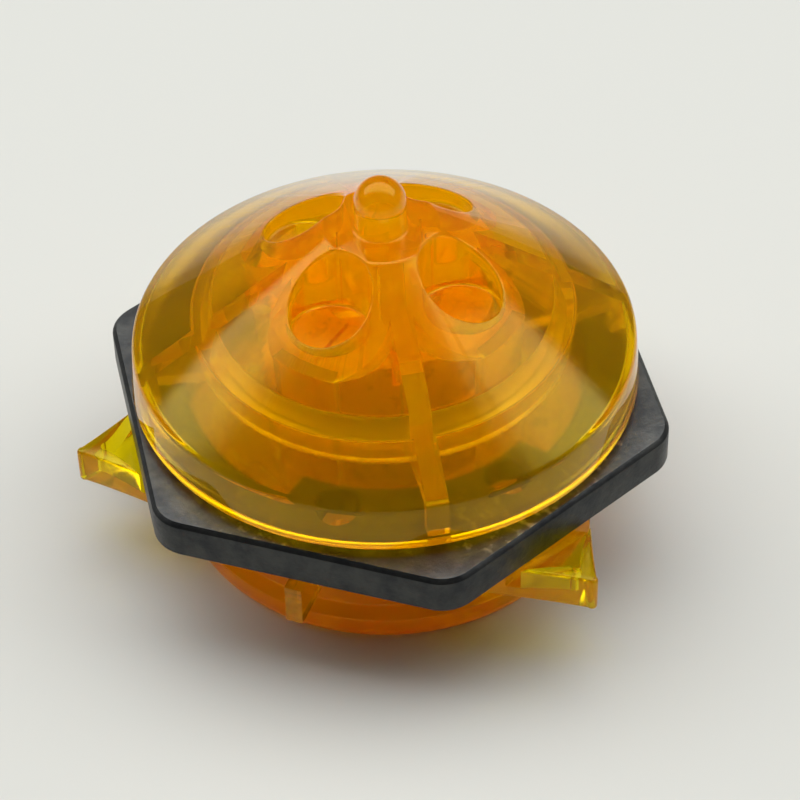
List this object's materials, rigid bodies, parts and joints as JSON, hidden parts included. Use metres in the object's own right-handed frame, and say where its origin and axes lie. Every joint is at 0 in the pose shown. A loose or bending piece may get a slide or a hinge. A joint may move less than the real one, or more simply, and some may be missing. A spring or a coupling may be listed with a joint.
{
  "type": "battle top",
  "caption": "Twist-together spinning battle top: translucent conical base with a round tip, hexagonal metal weight disk, winged attack ring, blank face chip and a split spin gear inside.",
  "frame": {"origin": "centre of the flat outer face of the face chip, on which the top lies with its spinning tip up", "axes": "+Z along the spinning axis towards the tip, +X square to one flat of the hexagonal disk"},
  "size_m": [0.043, 0.0436, 0.031],
  "materials": {
    "chip_plastic": "smooth moulded amber plastic",
    "ring_plastic": "smooth translucent amber plastic",
    "disk_metal": "dark grey satin die-cast metal",
    "gear_plastic": "smooth translucent amber plastic",
    "core_plastic": "smooth translucent amber plastic",
    "shell_plastic": "polished translucent amber plastic"
  },
  "bodies": {
    "ring": {"attack_ring": "ring_plastic", "face_chip": "chip_plastic", "weight_disk": "disk_metal"},
    "base": {"base_shell": "shell_plastic", "spin_gear_left": "gear_plastic", "spin_gear_right": "gear_plastic", "gear_core": "core_plastic"}
  },
  "joints": [
    {"name": "lock_twist", "type": "hinge", "parent": "ring", "child": "base", "pos_m": [0, 0, 0], "axis": [0, 0, 1], "range_deg": [0, 45]}
  ]
}
